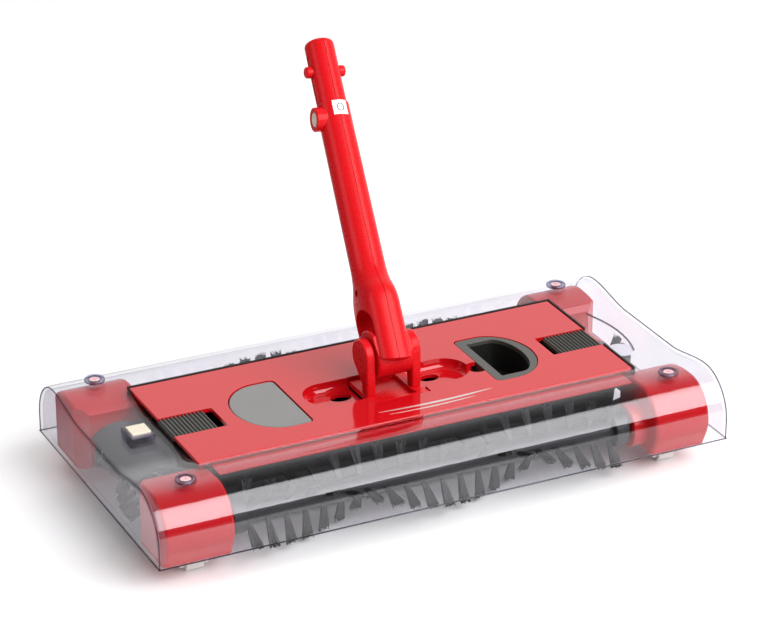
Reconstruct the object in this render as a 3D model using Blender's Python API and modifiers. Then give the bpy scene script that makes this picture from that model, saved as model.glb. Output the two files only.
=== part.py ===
"""Cordless carpet sweeper head with its swivel handle socket.

Head frame, in millimetres until the last step: +X right, +Y rear, +Z up, floor at Z = 0.
Four brushes run round a dust tray, driven through mitre gears in four corner gearboxes.
"""
import math

import bmesh
import bpy
from mathutils import Matrix, Vector

MM = 0.001
# ---- driving dimensions -------------------------------------------------------------
HEAD_W = 320.0            # length of the clear cover along X
HEAD_D = 166.0            # depth of the clear cover along Y
COVER_FOOT = 15.0         # height of the cover's lower edge over the floor
COVER_WALL = 1.8
ROLL_R = 24.0             # outer radius of the front and rear rolls of the cover
ROLL_Z = 25.5
VALLEY_Z = 45.0           # top of the cover between the rolls
BRUSH_X = 138.0           # side brush axes at x = +-138
BRUSH_Y = 59.0            # front and rear brush axes at y = +-59
BRUSH_Z = 22.8
TIP_R = 21.0              # bristle tip radius
SIDE_TIP_R = 18.4
TUNNEL_R = 23.0           # radius of the walls that curve round the brushes
PANEL_X = 123.3
PANEL_Y = 46.7
PANEL_TOP = 48.5
PIVOT = Vector((0.0, -5.0, 66.0))   # centre of the universal joint
LEAN = math.radians(45.0)           # handle leans back
ROLL = math.radians(6.5)            # and a little to the right
HANDLE_L = 177.0
EAR_IN, EAR_OUT = 10.3, 15.6
EAR_R = 9.2
GAP = 0.3
D_X, D_BACK, D_FRONT, D_CURVE = 52.5, 22.4, -29.5, 85.5
RECESS_R, RECESS_REACH, RECESS_FLOOR = 13.1, 46.6, 42.8   # pocket round the swivel joint
SCREW_X, SCREW_Y = 136.0, 61.0
WHEEL_X, WHEEL_Y, WHEEL_R, WHEEL_HALF = 134.0, 62.0, 4.4, 4.8
DECK_X, DECK_Z, DECK_TOP = 117.0, 32.0, 45.6
BELT_Y = 29.0
MOTOR_X, MOTOR_Z, MOTOR_R = -100.0, 35.5, 8.0
MOTOR_BACK, MOTOR_FRONT = 16.0, -26.0
PULLEY_R, DRIVEN_R = 5.0, 9.0
LATCH_X0, LATCH_X1 = 98.2, 123.0
LATCH_Y0, LATCH_Y1 = -14.4, 6.5
LEG_X0, LEG_X1 = 111.4, 113.2       # each latch's leg, which holds the tray
LATCH_TRAVEL = 3.0
PEDAL_AT = (-69.0, -2.0)
PACK_FLOOR, GRIP_FLOOR = 28.5, 38.0
HINGE = (35.0, 12.0)      # tray hinge axis, as (y, z)
THROAT_R, THROAT_MID, THROAT_RISE = 11.5, 16.5, 6.5
TEETH = 12
MITRE_R = 9.0             # pitch radius and apex distance of the mitre gears
BUTTON_H = 160.0          # snap buttons, along the handle
MAGNET_H = 132.5
SEAM = 0.15               # half the gap between the two handle mouldings
SHIFT_Y = -20.6           # head frame to the part's origin

RED, DARK, BLACK = (0.72, 0.008, 0.012, 1), (0.03, 0.028, 0.025, 1), (0.01, 0.01, 0.01, 1)
STEEL, BRASS, CREAM = (0.6, 0.6, 0.6, 1), (0.7, 0.5, 0.2, 1), (0.8, 0.72, 0.6, 1)
CLEAR, SILVER, WHITE = (0.85, 0.85, 0.9, 1), (0.35, 0.33, 0.3, 1), (0.85, 0.85, 0.85, 1)

for old in list(bpy.data.objects):
    bpy.data.objects.remove(old, do_unlink=True)

PARTS = bpy.data.collections.new("carpet_sweeper")
CUTTERS = bpy.data.collections.new("cutters")
for group in (PARTS, CUTTERS):
    bpy.context.scene.collection.children.link(group)


def tilt_matrix():
    """Frame of the knuckle: x along the pitch pin, z up the leaning handle."""
    return Matrix.Translation(PIVOT * MM) @ Matrix.Rotation(-LEAN, 4, "X")


KNUCKLE = tilt_matrix()
HANDLE = KNUCKLE @ Matrix.Rotation(ROLL, 4, "Y")


def paint(obj, colour, metallic=0.0, roughness=0.35):
    mat = bpy.data.materials.new(obj.name + "_material")
    mat.use_nodes = True
    shader = mat.node_tree.nodes["Principled BSDF"]
    shader.inputs["Base Color"].default_value = colour
    shader.inputs["Metallic"].default_value = metallic
    shader.inputs["Roughness"].default_value = roughness
    obj.data.materials.clear()
    obj.data.materials.append(mat)
    return obj


def place(mesh, name, frame=None):
    obj = bpy.data.objects.new(name, mesh)
    PARTS.objects.link(obj)
    obj.matrix_world = frame or Matrix.Identity(4)
    return obj


def from_bmesh(bm, name, frame=None):
    bm.transform(Matrix.Scale(MM, 4))
    bmesh.ops.recalc_face_normals(bm, faces=bm.faces)
    if bm.calc_volume(signed=True) < 0:
        bmesh.ops.reverse_faces(bm, faces=bm.faces)
    mesh = bpy.data.meshes.new(name)
    bm.to_mesh(mesh)
    bm.free()
    return place(mesh, name, frame)


def box(name, low, high, frame=None):
    bm = bmesh.new()
    bmesh.ops.create_cube(bm, size=1.0)
    low, high = Vector(low), Vector(high)
    for v in bm.verts:
        v.co = Vector(low[i] + (v.co[i] + 0.5) * (high[i] - low[i]) for i in range(3))
    return from_bmesh(bm, name, frame)


TURN = {"X": Matrix.Rotation(math.pi / 2, 4, "Y"), "Y": Matrix.Rotation(-math.pi / 2, 4, "X"),
        "Z": Matrix.Identity(4)}


def rod(name, axis, centre, lo, hi, r, sides=24, frame=None, r2=None):
    """A cylinder or cone along an axis from lo to hi; centre gives the two other coordinates."""
    bm = bmesh.new()
    bmesh.ops.create_cone(bm, cap_ends=True, segments=sides, radius1=r, radius2=r2 or r, depth=hi - lo)
    mid = (lo + hi) / 2
    at = {"X": (mid, *centre), "Y": (centre[0], mid, centre[1]), "Z": (*centre, mid)}[axis]
    bm.transform(Matrix.Translation(at) @ TURN[axis])
    return from_bmesh(bm, name, frame)


SPREAD = {"X": Matrix(((0, 0, 1, 0), (1, 0, 0, 0), (0, 1, 0, 0), (0, 0, 0, 1))),
          "Y": Matrix(((1, 0, 0, 0), (0, 0, -1, 0), (0, 1, 0, 0), (0, 0, 0, 1))),
          "Z": Matrix.Identity(4)}


def prism(name, outline, axis, lo, hi, frame=None):
    """A flat outline pushed along an axis: (y, z) along X, (x, z) along Y, (x, y) along Z."""
    curve = bpy.data.curves.new(name, "CURVE")
    curve.dimensions = "2D"
    curve.fill_mode = "BOTH"
    curve.extrude = (hi - lo) / 2
    spline = curve.splines.new("POLY")
    spline.points.add(len(outline) - 1)
    for point, (u, v) in zip(spline.points, outline):
        point.co = (u, v, 0, 1)
    spline.use_cyclic_u = True
    flat = bpy.data.objects.new(name, curve)
    PARTS.objects.link(flat)
    graph = bpy.context.evaluated_depsgraph_get()
    mesh = bpy.data.meshes.new_from_object(flat.evaluated_get(graph))
    bpy.data.objects.remove(flat)
    bm = bmesh.new()
    bm.from_mesh(mesh)
    bmesh.ops.remove_doubles(bm, verts=bm.verts, dist=1e-4)
    slide = {"X": ((lo + hi) / 2, 0, 0), "Y": (0, (lo + hi) / 2, 0), "Z": (0, 0, (lo + hi) / 2)}[axis]
    bm.transform(Matrix.Translation(slide) @ SPREAD[axis])
    return from_bmesh(bm, name, frame)


def loft(name, rings, frame=None):
    """Closed skin through rings of equal point counts, for unlike sections."""
    bm = bmesh.new()
    loops = [[bm.verts.new(p) for p in ring] for ring in rings]
    count = len(loops[0])
    for a, b in zip(loops, loops[1:]):
        for i in range(count):
            j = (i + 1) % count
            bm.faces.new((a[i], a[j], b[j], b[i]))
    bm.faces.new(loops[0])
    bm.faces.new(loops[-1])
    return from_bmesh(bm, name, frame)


def arc(cx, cy, r, a0, a1, steps):
    angles = [math.radians(a0 + (a1 - a0) * i / steps) for i in range(steps + 1)]
    return [(cx + r * math.cos(a), cy + r * math.sin(a)) for a in angles]


def boolean(target, tool, operation):
    """Cut or join with a tool that then leaves the parts."""
    PARTS.objects.unlink(tool)
    CUTTERS.objects.link(tool)
    tool.hide_render = True
    tool.display_type = "WIRE"
    mod = target.modifiers.new(operation.lower(), "BOOLEAN")
    mod.operation = operation
    mod.solver = "EXACT"
    mod.object = tool
    return target


def cut(target, *tools):
    for tool in tools:
        boolean(target, tool, "DIFFERENCE")
    return target


def join(target, *tools):
    for tool in tools:
        boolean(target, tool, "UNION")
    return target


def soften(obj, width, segments=2, angle=40):
    mod = obj.modifiers.new("bevel", "BEVEL")
    mod.width = width * MM
    mod.segments = segments
    mod.limit_method = "ANGLE"
    mod.angle_limit = math.radians(angle)
    return obj


def hang(name, x, y, z):
    """Put the origin of a part on its joint's axis, without moving its shape."""
    obj = PARTS.objects[name]
    offset = obj.matrix_world.inverted() @ (Vector((x, y, z)) * MM)
    obj.data.transform(Matrix.Translation(-offset))
    obj.matrix_world = obj.matrix_world @ Matrix.Translation(offset)


# ---- outlines -----------------------------------------------------------------------
def valley(y):
    """Height of the cover's top between the rolls."""
    t = min(1.0, max(0.0, (abs(y) - 24.0) / (BRUSH_Y - 24.0)))
    return VALLEY_Z + (ROLL_Z + ROLL_R - VALLEY_Z) * t * t * (3 - 2 * t)


def cover_outline(inset, foot):
    side = HEAD_D / 2 - inset
    right = [(side, foot)] + arc(BRUSH_Y, ROLL_Z, ROLL_R - inset, 0, 90, 10)
    dip = [(y, valley(y) - inset) for y in (52, 45, 38, 31, 24)]
    half = right + dip
    return half + [(-y, z) for y, z in reversed(half)]


def d_outline(grow, side):
    """Letter-D opening: straight edge towards the middle, round edge outwards."""
    x0, y0, y1 = D_X - grow, D_FRONT - grow, D_BACK + grow
    mid, half = (y0 + y1) / 2, (y1 - y0) / 2
    depth = D_CURVE - D_X + 2 * grow - 12
    bow = [(x0 + 12 + depth * math.cos(a), mid + half * math.sin(a))
           for a in (math.radians(-90 + 12 * i) for i in range(16))]
    points = [(x0, y0)] + bow + [(x0, y1)]
    return points if side > 0 else [(-x, y) for x, y in reversed(points)]


def racetrack(half):
    c = RECESS_REACH - RECESS_R
    return arc(c, PIVOT.y, half, -90, 90, 12) + arc(-c, PIVOT.y, half, 90, 270, 12)


def tunnel(side, a0, a1, steps, r=TUNNEL_R):
    """Arc of the wall round the front (side -1) or rear (side +1) brush, as (y, z)."""
    return [(side * (2 * BRUSH_Y - y), z) for y, z in arc(BRUSH_Y, BRUSH_Z, r, a0, a1, steps)]


# ---- the clear cover and the panel --------------------------------------------------
def make_cover():
    half = HEAD_W / 2
    cover = prism("clear_cover", cover_outline(0, COVER_FOOT), "X", -half, half)
    soften(cover, 2.0, 2, 60)
    cut(cover, prism("cover_inside", cover_outline(COVER_WALL, COVER_FOOT - 5), "X",
                     -half + COVER_WALL, half - COVER_WALL),
        box("cover_window", (-PANEL_X - GAP, -PANEL_Y - GAP, 40), (PANEL_X + GAP, PANEL_Y + GAP, 60)))
    for sx, sy in CORNERS:
        join(cover, rod("cover_ring", "Z", (sx * SCREW_X, sy * SCREW_Y), 48.2, 51.6, 5.25, 20))
    for sx, sy in CORNERS:
        cut(cover, rod("ring_hole", "Z", (sx * SCREW_X, sy * SCREW_Y), 40, 60, 3.0, 16))
    join(cover, box("keeper_socket", (-143, -6, VALLEY_Z - 1), (-129.3, 7, 48.2)))
    cut(cover, box("keeper_pocket", (-141.6, -4.8, VALLEY_Z + 0.6), (-130.6, 5.8, 50)))
    return paint(cover, CLEAR, 0, 0.05)


def make_panel():
    panel = box("top_panel", (-PANEL_X, -PANEL_Y, PANEL_TOP - 2.2), (PANEL_X, PANEL_Y, PANEL_TOP))
    join(panel, prism("panel_well", racetrack(RECESS_R + 1.7), "Z", RECESS_FLOOR - 1.8, PANEL_TOP - 1))
    cut(panel, prism("panel_recess", racetrack(RECESS_R), "Z", RECESS_FLOOR, 60),
        box("yoke_hole", (-16.1, -24.6, 30), (16.1, 8.6, 60)),
        prism("pack_hole", d_outline(GAP, 1), "Z", 30, 60),
        prism("pedal_hole", d_outline(GAP, -1), "Z", 30, 60))
    for side in (-1, 1):
        x0, x1 = sorted((side * 93.5, side * (PANEL_X + 1)))
        cut(panel, box("latch_hole", (x0, LATCH_Y0 - GAP, 30), (x1, LATCH_Y1 + GAP, 60)))
    cut(panel, rod("finger_scoop", "Z", (D_X - 2.6, -10), 44, 60, 6.0, 24))
    return paint(panel, RED, 0, 0.1)


# ---- the chassis, gearboxes and tray ------------------------------------------------
def chassis_outline(floor):
    rear = tunnel(1, 25, 66, 5)
    half = [(rear[0][0], floor)] + rear if floor < rear[0][1] - 1 else rear
    half = half + [(rear[-1][0] - 3, DECK_TOP)]
    return half + [(-y, z) for y, z in reversed(half)]


def make_chassis():
    inside = DECK_X - 2.5
    deck = prism("chassis", chassis_outline(DECK_Z), "X", -DECK_X, DECK_X)
    cut(deck, box("chassis_hollow", (-inside, -36.5, DECK_Z + 2), (inside, 36.5, 60)))
    low = tunnel(1, -38, 25, 6)
    cheek = [(y, z) for y, z in low] + [(-y, z) for y, z in reversed(low)]
    for side in (-1, 1):
        x0, x1 = sorted((side * inside, side * DECK_X))
        join(deck, prism("cheek", cheek, "X", x0, x1))
    join(deck, prism("pack_well", d_outline(2.2, 1), "Z", 26.6, 44.0),
         box("yoke_pedestal", (-EAR_OUT, -23.6, 32.8), (EAR_OUT, 7.6, 43.2)),
         rod("motor_cradle", "Y", (MOTOR_X, MOTOR_Z), -30, 37, MOTOR_R + 2.6, 28),
         box("switch_post", (-76, -6, 33), (-62, 2, 36.4)))
    room = MOTOR_R + 0.4
    cut(deck, prism("pack_room", d_outline(GAP, 1), "Z", PACK_FLOOR - GAP, 60),
        rod("motor_room", "Y", (MOTOR_X, MOTOR_Z), MOTOR_FRONT - 0.5, 19.5, room, 28),
        box("motor_mouth", (MOTOR_X - room, MOTOR_FRONT - 0.5, MOTOR_Z), (MOTOR_X + room, 19.5, 60)),
        rod("pulley_room", "Y", (MOTOR_X, MOTOR_Z), 19, 34, 7.6, 24),
        box("pulley_mouth", (MOTOR_X - 13, 22.5, MOTOR_Z - 7.6), (MOTOR_X + 7.6, 34, 60)),
        box("belt_slot", (-119, BELT_Y - 4, 12), (-97, BELT_Y + 4, 43)),
        box("cradle_trim", (-114.4, -40, 44.7), (-85, 41, 60)),
        box("tray_swing_room", (-114.4, 19.6, 20), (-85, 40, 26.6)))
    for side in (-1, 1):
        x0, x1 = sorted((side * (LEG_X0 - LATCH_TRAVEL - 0.4), side * (LEG_X1 + 0.2)))
        cut(deck, box("latch_leg_slot", (x0, -9, 25), (x1, 1, 50)))
        x0, x1 = sorted((side * 92, side * 120))
        cut(deck, box("latch_track", (x0, LATCH_Y0 - 0.5, 44.6), (x1, LATCH_Y1 + 0.5, 60)))
        x0, x1 = sorted((side * (inside - 4), side * (DECK_X + 4)))
        cut(deck, rod("hinge_hole", "X", HINGE, x0, x1, 1.8, 16))
    return paint(deck, BLACK, 0, 0.5)


def gearbox_outline(sy):
    """Section across a corner gearbox, round outwards and chamfered inwards."""
    body = [(39.0, 12.5), (41.5, 9.5), (74.0, 9.5)] + arc(BRUSH_Y, 25.4, 20.2, -20, 90, 9)
    body = body + [(51.0, 45.2), (42.0, 43.6), (39.0, 41.0)]
    return body if sy > 0 else [(-y, z) for y, z in reversed(body)]


def make_gearbox(sx, sy):
    words = ("rear" if sy > 0 else "front") + ("_right" if sx > 0 else "_left")
    outer, inner = (151.5, 119.5) if sx > 0 else (154.5, 117.4)
    x0, x1 = sorted((sx * outer, sx * inner))
    case = prism("gearbox_" + words, gearbox_outline(sy), "X", x0, x1)
    soften(case, 2.2, 1, 60)
    apex_x, apex_y = sx * BRUSH_X, sy * BRUSH_Y
    y0, y1 = sorted((sy * 41.8, sy * 73.4))
    hollow = box("gear_room", (x0 + 2.6, y0, 12.2), (x1 - 2.6, y1, 38.0))
    lo, hi = sorted((sx * (inner + 1), sx * (inner - (8 if sx > 0 else 1.5))))
    join(case, rod("neck", "X", (apex_y, BRUSH_Z), lo, hi, 11.5, 24))
    if sx > 0 and sy > 0:
        join(case, rod("neck", "Y", (apex_x, BRUSH_Z), 20, 41, 9.5, 24))
    for dx in (-6.6, 6.6):
        x, y = sx * WHEEL_X + dx, sy * WHEEL_Y
        join(case, box("wheel_cheek", (x - 1.2, y - 4, 2.6), (x + 1.2, y + 4, 11)))
    cut(case, hollow,
        rod("shaft_hole", "X", (apex_y, BRUSH_Z), min(0, apex_x), max(0, apex_x), 3.4, 20),
        rod("shaft_hole", "Y", (apex_x, BRUSH_Z), min(0, apex_y), max(0, apex_y), 3.4, 20),
        rod("screw_hole", "Z", (sx * SCREW_X, sy * SCREW_Y), 36, 50, 1.7, 12),
        rod("axle_hole", "X", (sy * WHEEL_Y, WHEEL_R), sx * WHEEL_X - 10, sx * WHEEL_X + 10, 1.3, 12))
    return paint(case, RED, 0, 0.2)


def make_wheel(sx, sy, number):
    at, x = (sy * WHEEL_Y, WHEEL_R), sx * WHEEL_X
    wheel = rod("wheel_%d" % number, "X", at, x - WHEEL_HALF, x + WHEEL_HALF, WHEEL_R, 24)
    cut(wheel, rod("wheel_bore", "X", at, x - 9, x + 9, 1.4, 12))
    paint(wheel, WHITE)
    hang("wheel_%d" % number, x, *at)
    axle = rod("wheel_axle_%d" % number, "X", at, x - 8.6, x + 8.6, 1.0, 12)
    paint(axle, STEEL, 1, 0.3)


def make_screw(sx, sy, number):
    at = (sx * SCREW_X, sy * SCREW_Y)
    screw = rod("cover_screw_%d" % number, "Z", at, 40.2, 50.4, 1.35, 12)
    join(screw, rod("screw_head", "Z", at, 48.6, 50.8, 2.6, 16))
    return paint(screw, SILVER, 0.4, 0.3)


def make_tray():
    rear = tunnel(1, -36, 6, 6, TUNNEL_R + 0.4)
    out = [(rear[0][0] - 2, 7.0)] + rear
    outline = out + [(-y, z) for y, z in reversed(out)]
    tray = prism("dust_tray", outline, "X", -114.1, 114.1)
    cut(tray, box("tray_hollow", (-112.0, -33.4, 9.0), (112.0, 33.4, 40)),
        box("hinge_clear", (-120, HINGE[0] + 2, 0), (120, 60, 60)),
        box("belt_room", (-120, 21, 18.6), (-107.0, 60, 60)))
    for side in (-1, 1):
        x0, x1 = sorted((side * 104, side * 114.1))
        cut(tray, rod("pin_hole", "X", HINGE, x0 - 1, x1 + 1, 1.8, 16))
    hang("dust_tray", 0, *HINGE)
    return paint(tray, DARK, 0, 0.4)


def make_hinge_pin(side, name):
    x0, x1 = sorted((side * 105, side * 116.8))
    return paint(rod(name, "X", HINGE, x0, x1, 1.4, 16), STEEL, 1, 0.3)


# ---- brushes and drive --------------------------------------------------------------
def make_brush(name, axis, centre, lo, hi, tip, shaft_lo, shaft_hi, hand):
    """A core with two rows of bristles that wind along it, on its own shaft."""
    turns = 1.1 * (hi - lo) / 210
    steps = max(8, int((hi - lo) / 12))
    half_width = math.radians(9)
    rings = []
    for k in range(steps + 1):
        along = lo + (hi - lo) * k / steps
        twist = hand * 2 * math.pi * turns * k / steps
        ring = []
        for row in range(2):
            base = twist + row * math.pi
            root = math.radians(28)
            for a, r in ((-root, 5.4), (-half_width, tip), (half_width, tip), (root, 5.4),
                         (math.pi / 2, 5.4)):
                ring.append(Vector((r * math.cos(base + a), r * math.sin(base + a), along)))
        rings.append(ring)
    brush = loft(name, rings)
    spin = TURN[axis]
    shift = {"X": (0, *centre), "Y": (centre[0], 0, centre[1])}[axis]
    brush.data.transform(Matrix.Translation(Vector(shift) * MM) @ spin)
    join(brush, rod("brush_shaft", axis, centre, shaft_lo, shaft_hi, 2.9, 16))
    hang(name, *shift)
    return paint(brush, BLACK, 0, 0.7)


def make_mitre(name, sx, sy, axis):
    """Twelve straight teeth on a 45 degree cone, its apex where the two shafts meet."""
    apex = Vector((sx * BRUSH_X, sy * BRUSH_Y, BRUSH_Z))
    pitch = 2 * math.pi / TEETH
    phase = 0.0 if axis == "X" else pitch / 2
    rings = []
    for depth in (5.6, MITRE_R):
        scale = depth / MITRE_R
        ring = []
        for k in range(TEETH):
            for a, rise in ((-0.22, -0.92), (-0.08, 0.57), (0.08, 0.57), (0.22, -0.92)):
                turn = phase + (k + a) * pitch
                ring.append(((MITRE_R + rise) * scale, turn, (MITRE_R - rise) * scale))
        rings.append(ring)
    inward = Vector((-sx, 0, 0)) if axis == "X" else Vector((0, -sy, 0))
    mate = Vector((0, -sy, 0)) if axis == "X" else Vector((-sx, 0, 0))
    third = inward.cross(mate)
    points = [[apex + inward * d + (mate * math.cos(t) + third * math.sin(t)) * r for r, t, d in ring]
              for ring in rings]
    gear = loft(name, points)
    start = apex.x if axis == "X" else apex.y
    way = -sx if axis == "X" else -sy
    lo, hi = sorted((start + way * 8.6, start + way * 12.4))
    centre = (apex.y, apex.z) if axis == "X" else (apex.x, apex.z)
    join(gear, rod("gear_hub", axis, centre, lo, hi, 5.6, 16))
    lo, hi = sorted((start + way * 2, start + way * 16))
    cut(gear, rod("gear_bore", axis, centre, lo, hi, 3.2, 12))
    hang(name, *apex)
    return paint(gear, WHITE, 0, 0.5)


def make_pulley(name, x, z, r, bore):
    disc = rod(name, "Y", (x, z), BELT_Y - 2.6, BELT_Y + 2.6, r, 28)
    cut(disc, rod("pulley_bore", "Y", (x, z), BELT_Y - 9, BELT_Y + 9, bore, 16))
    hang(name, x, BELT_Y, z)
    return paint(disc, WHITE, 0, 0.5)


def belt_outline(grow):
    """Open belt round the motor pulley and the side brush pulley, as (x, z)."""
    a = Vector((MOTOR_X, MOTOR_Z))
    b = Vector((-BRUSH_X, BRUSH_Z))
    line = b - a
    heading = math.degrees(math.atan2(line.y, line.x))
    lean = math.degrees(math.asin((DRIVEN_R - PULLEY_R) / line.length))
    near = arc(a.x, a.y, PULLEY_R + grow, heading + 90 + lean, heading + 270 - lean, 10)
    far = arc(b.x, b.y, DRIVEN_R + grow, heading - 90 - lean, heading + 90 + lean, 12)
    return near + far


def make_belt():
    belt = prism("drive_belt", belt_outline(1.5), "Y", BELT_Y - 2.2, BELT_Y + 2.2)
    cut(belt, prism("belt_inside", belt_outline(GAP), "Y", BELT_Y - 5, BELT_Y + 5))
    return paint(belt, BLACK, 0, 0.8)


def make_motor():
    motor = rod("motor", "Y", (MOTOR_X, MOTOR_Z), MOTOR_FRONT, MOTOR_BACK, MOTOR_R, 28)
    join(motor, rod("motor_nose", "Y", (MOTOR_X, MOTOR_Z), MOTOR_BACK - 1, 18.5, 4.5, 20),
         box("motor_tag", (MOTOR_X - 5, -25, MOTOR_Z + 6), (MOTOR_X + 5, -21, 44.5)))
    cut(motor, rod("shaft_room", "Y", (MOTOR_X, MOTOR_Z), 4, 30, 1.6, 12))
    paint(motor, STEEL, 0.9, 0.35)
    shaft = rod("motor_shaft", "Y", (MOTOR_X, MOTOR_Z), 5, 32.6, 1.2, 12)
    hang("motor_shaft", MOTOR_X, 5, MOTOR_Z)
    return paint(shaft, STEEL, 1, 0.2)


def make_guard():
    """Dark shield over the left side brush: the top sector of a tube."""
    sector = arc(-BRUSH_X, BRUSH_Z, 20.2, 42, 138, 10) + arc(-BRUSH_X, BRUSH_Z, 19.0, 138, 42, 10)
    guard = prism("brush_guard", sector, "Y", -33.5, 24.0)
    return paint(guard, BLACK, 0, 0.35)


# ---- power, latches -----------------------------------------------------------------
def make_pack():
    pack = prism("battery_pack", d_outline(0, 1), "Z", PACK_FLOOR, PANEL_TOP - 0.2)
    cut(pack, prism("grip_room", d_outline(-6.0, 1), "Z", GRIP_FLOOR, 60))
    hang("battery_pack", D_X, 0, PACK_FLOOR)
    return paint(pack, DARK, 0, 0.4)


def make_pedal():
    pedal = prism("power_pedal", d_outline(0, -1), "Z", PANEL_TOP - 3.6, PANEL_TOP - 0.2)
    join(pedal, rod("pedal_stem", "Z", PEDAL_AT, 40.6, PANEL_TOP - 2, 3.0, 16))
    hang("power_pedal", *PEDAL_AT, 40.6)
    return paint(pedal, SILVER, 0, 0.3)


def coil(name, start, end, r, wire, turns):
    """A helical spring between two points."""
    start, end = Vector(start), Vector(end)
    axis = (end - start).normalized()
    side = axis.orthogonal().normalized()
    other = axis.cross(side)
    per = 8
    curve = bpy.data.curves.new(name, "CURVE")
    curve.dimensions = "3D"
    curve.bevel_depth = wire / 2 * MM
    curve.bevel_resolution = 0
    curve.use_fill_caps = True
    spline = curve.splines.new("POLY")
    spline.points.add(turns * per)
    for i, point in enumerate(spline.points):
        a = 2 * math.pi * i / per
        at = start.lerp(end, i / (turns * per)) + (side * math.cos(a) + other * math.sin(a)) * r
        point.co = (*(at * MM), 1)
    obj = bpy.data.objects.new(name, curve)
    PARTS.objects.link(obj)
    return paint(obj, STEEL, 1, 0.3)


def rib_outline(x0, x1, count):
    """Flat-bottomed strip with rounded ribs on top, as (x, z)."""
    top = []
    step = (x1 - x0) / count
    for k in range(count):
        x = x0 + k * step
        top += [(x + 0.15 * step, PANEL_TOP - 1.1), (x + 0.3 * step, PANEL_TOP - 0.1),
                (x + 0.7 * step, PANEL_TOP - 0.1), (x + 0.85 * step, PANEL_TOP - 1.1)]
    return [(x1, PANEL_TOP - 3.4), (x1, PANEL_TOP - 1.1)] + top[::-1] + [
        (x0, PANEL_TOP - 1.1), (x0, PANEL_TOP - 3.4)]


def make_latch(side, name):
    outline = rib_outline(LATCH_X0, LATCH_X1, 12)
    if side < 0:
        outline = [(-x, z) for x, z in reversed(outline)]
    latch = prism(name, outline, "Y", LATCH_Y0, LATCH_Y1)
    x0, x1 = sorted((side * LEG_X0, side * LEG_X1))
    join(latch, box("latch_leg", (x0, -8.4, 27.0), (x1, 0.4, PANEL_TOP - 3)))
    hang(name, side * LEG_X0, 0, PANEL_TOP)
    return paint(latch, DARK, 0, 0.5)


# ---- swivel joint and handle --------------------------------------------------------
def make_yoke():
    """Base under the panel with two ears; the rear of each ear leaves room for the fork."""
    py, pz = PIVOT.y, PIVOT.z
    ear = [(py - EAR_R, 46.5), (py - 2.6, 46.5), (py - 2.6, pz - 14.6)]
    ear = ear + arc(py, pz, EAR_R, -58, 180, 18)
    base = [(py - 19.0, 43.6), (py + 12.6, 43.6), (py + 12.6, 46.6), (py - 10, 46.9), (py - 19.0, 48.4)]
    yoke = prism("yoke", base, "X", -EAR_OUT, EAR_OUT)
    for side in (-1, 1):
        x0, x1 = sorted((side * EAR_IN, side * EAR_OUT))
        shape = prism("ear", ear, "X", x0, x1)
        join(yoke, soften(shape, 1.0, 1, 60))
    cut(yoke, rod("pin_bore", "X", (py, pz), -30, 30, 3.1, 20))
    return paint(yoke, RED, 0, 0.25)


def make_pitch_pin(side, name):
    x0, x1 = sorted((side * 4.6, side * (EAR_OUT - 0.3)))
    return paint(rod(name, "X", (PIVOT.y, PIVOT.z), x0, x1, 2.8, 20), STEEL, 1, 0.3)


def make_knuckle():
    drum = rod("knuckle", "X", (0, 0), -EAR_IN + 0.4, EAR_IN - 0.4, 12.5, 36, KNUCKLE)
    soften(drum, 1.0, 1, 60)
    for side in (-1, 1):
        y0, y1 = sorted((side * 11.2, side * 20))
        cut(drum, box("flat", (-20, y0, -20), (20, y1, 20), KNUCKLE))
        x0, x1 = sorted((side * 4.2, side * 20))
        cut(drum, rod("pitch_bore", "X", (0, 0), x0, x1, 3.1, 20, KNUCKLE))
    cut(drum, rod("fork_bore", "Y", (0, 0), -20, 20, 2.9, 20, KNUCKLE))
    return paint(drum, RED, 0, 0.3)


def half_superellipse(side, sx, sy, z, power, count=18):
    """Right or left half of a rounded section, flat along the seam."""
    ring = []
    for i in range(count + 1):
        a = math.pi * (i / count - 0.5)
        c, s = max(0.0, math.cos(a)), math.sin(a)
        x = max(SEAM, c ** (2 / power) * sx)
        ring.append((side * x, math.copysign(abs(s) ** (2 / power), s) * sy, z))
    return ring


HANDLE_RINGS = ((-10.0, 9.0, 15.8, 3.6), (22.0, 9.0, 15.8, 3.6), (27.0, 9.0, 15.6, 3.4),
                (30.5, 9.1, 14.9, 3.1), (34.0, 9.2, 13.2, 2.7), (37.5, 9.3, 11.3, 2.3),
                (42.0, 9.3, 9.8, 2.1), (48.0, 9.3, 9.3, 2.0), (140.0, 8.8, 8.8, 2.0), (140.2, 8.0, 8.0, 2.0),
                (HANDLE_L - 2.0, 8.0, 8.0, 2.0), (HANDLE_L - 0.6, 7.4, 7.4, 2.0),
                (HANDLE_L, 6.6, 6.6, 2.0))


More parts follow.
